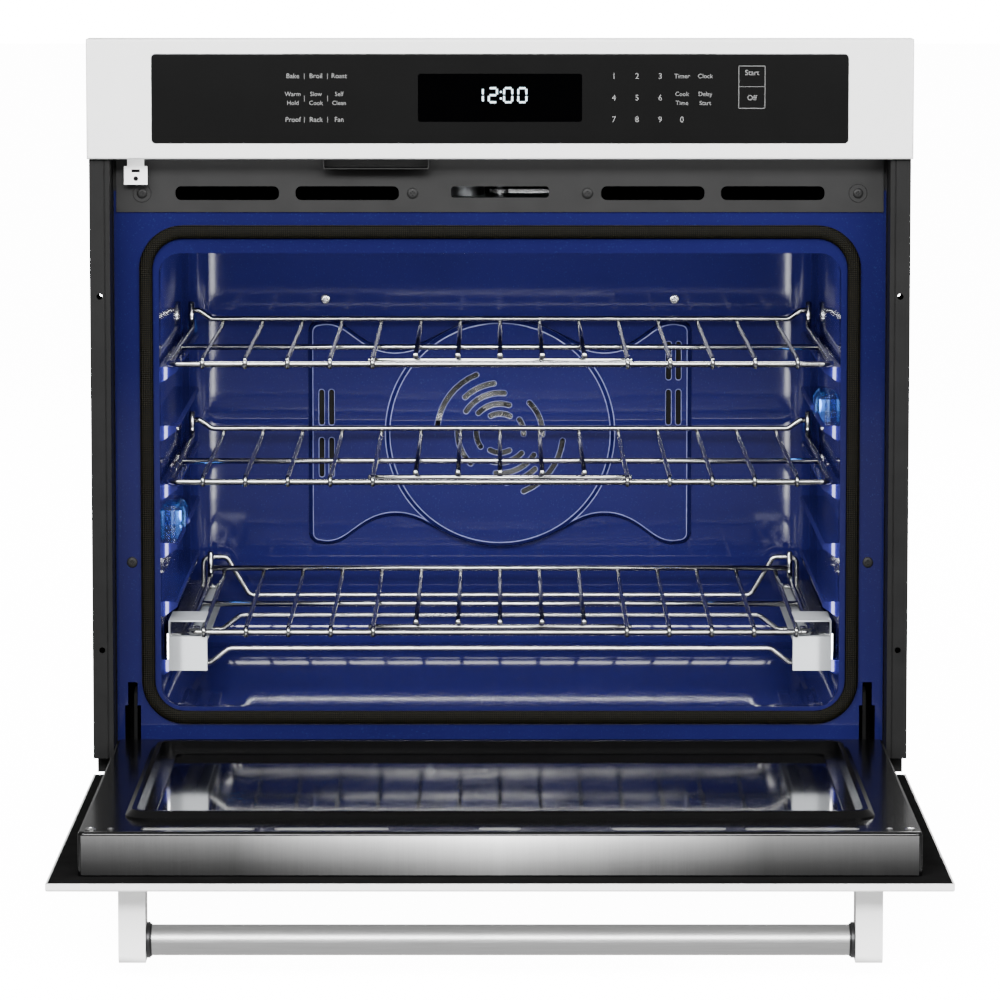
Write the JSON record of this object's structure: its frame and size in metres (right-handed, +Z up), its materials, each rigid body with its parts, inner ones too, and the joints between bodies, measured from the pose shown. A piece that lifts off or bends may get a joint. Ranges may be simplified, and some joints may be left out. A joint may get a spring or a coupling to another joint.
{
  "type": "wall oven",
  "caption": "Built-in electric wall oven with drop-down door, wire racks, a roll-out rack on slides, fan cover, side lamps, touch control panel and bar handle.",
  "frame": {"origin": "centre of the front edge of the cabinet cut-out's floor, where the oven's base meets the plane of the cabinet's face", "axes": "+X to the right seen from the front, +Y into the cabinet, +Z up; the door is open at rest"},
  "size_m": [0.762, 1.1984, 0.7658],
  "materials": {
    "white_paint": "gloss",
    "black_paint": "satin",
    "grey_fascia": "satin",
    "blue_enamel": "gloss speckled enamel",
    "galvanised": "galvanised sheet",
    "black_glass": "polished dark glass",
    "dark_glass": "polished",
    "clear_glass": "polished",
    "display": "dark lens",
    "circuit": "matte",
    "chrome_wire": "polished",
    "bright_steel": "bright",
    "satin_steel": "satin",
    "seal_mesh": "woven over glass fibre",
    "insulation": "glass fibre",
    "motor": "satin",
    "element": "dull",
    "bulb_glass": "frosted",
    "grey_plastic": "satin",
    "liner_enamel": "gloss enamel"
  },
  "bodies": {
    "case": {"case_sides": "galvanised", "case_top": "galvanised", "case_back": "galvanised", "case_base": "galvanised", "side_trims": "black_paint", "bottom_trim": "black_paint", "control_panel": "white_paint", "control_glass": "black_glass", "display_module": "display", "control_board": "circuit", "panel_tab": "white_paint", "tag_holder": "black_paint", "vent_fascia": "grey_fascia", "screws": "bright_steel", "air_duct": "galvanised", "cavity_floor": "blue_enamel", "cavity_ceiling": "blue_enamel", "cavity_right": "blue_enamel", "cavity_left": "blue_enamel", "cavity_back": "blue_enamel", "cavity_frame": "blue_enamel", "door_seal": "seal_mesh", "fan_chamber": "galvanised", "fan_cover": "blue_enamel", "ring_element": "element", "convection_motor": "motor", "broil_element": "element", "bake_element": "element", "temperature_probe": "bright_steel", "lamp_housings": "galvanised", "lamp_bulbs": "bulb_glass", "lamp_lenses": "clear_glass", "insulation_sides": "insulation", "insulation_top": "insulation", "insulation_bottom": "insulation", "insulation_back": "insulation", "latch_plate": "galvanised", "hinge_receivers": "bright_steel", "blower_housing": "galvanised", "cooling_motor": "motor", "cable_inlet": "bright_steel", "slide_base": "bright_steel"},
    "door": {"door_outer": "white_paint", "door_glass_outer": "black_glass", "door_liner": "liner_enamel", "door_glass_inner": "dark_glass", "door_frame": "black_paint", "hinge_arms": "bright_steel", "handle_bar": "satin_steel", "handle_brackets": "white_paint", "handle_caps": "grey_plastic", "door_screws": "bright_steel"},
    "upper_rack": {"upper_rack": "chrome_wire"},
    "middle_rack": {"middle_rack": "chrome_wire"},
    "lower_rack": {"lower_rack": "chrome_wire", "slide_inners": "bright_steel"},
    "slide_middles": {"slide_middles": "bright_steel"},
    "convection_fan": {"convection_fan": "bright_steel"},
    "cooling_wheel": {"cooling_wheel": "motor"},
    "latch_hook": {"latch_hook": "bright_steel"}
  },
  "joints": [
    {"name": "door_hinge", "type": "hinge", "parent": "case", "child": "door", "pos_m": [0, -0.024, 0.0422], "axis": [1, 0, 0], "range_deg": [-90, 0]},
    {"name": "upper_rack_slide", "type": "slide", "parent": "case", "child": "upper_rack", "axis": [0, -1, 0], "range_m": [0, 0.36]},
    {"name": "middle_rack_slide", "type": "slide", "parent": "case", "child": "middle_rack", "axis": [0, -1, 0], "range_m": [0, 0.36]},
    {"name": "lower_rack_slide", "type": "slide", "parent": "case", "child": "lower_rack", "axis": [0, -1, 0], "range_m": [0, 0.36]},
    {"name": "slide_middle_slide", "type": "slide", "parent": "case", "child": "slide_middles", "axis": [0, -1, 0], "range_m": [0, 0.18]},
    {"name": "convection_fan_spin", "type": "hinge", "parent": "case", "child": "convection_fan", "pos_m": [0, 0.49, 0.304], "axis": [0, 1, 0], "continuous": true},
    {"name": "cooling_wheel_spin", "type": "hinge", "parent": "case", "child": "cooling_wheel", "pos_m": [0, 0.47, 0.625], "axis": [1, 0, 0], "continuous": true},
    {"name": "latch_hook_turn", "type": "hinge", "parent": "case", "child": "latch_hook", "pos_m": [0, 0.06, 0.573], "axis": [0, 0, -1], "range_deg": [0, 85]}
  ],
  "couplings": [
    {"joint": "slide_middle_slide", "follows": "lower_rack_slide", "ratio": 0.5}
  ]
}
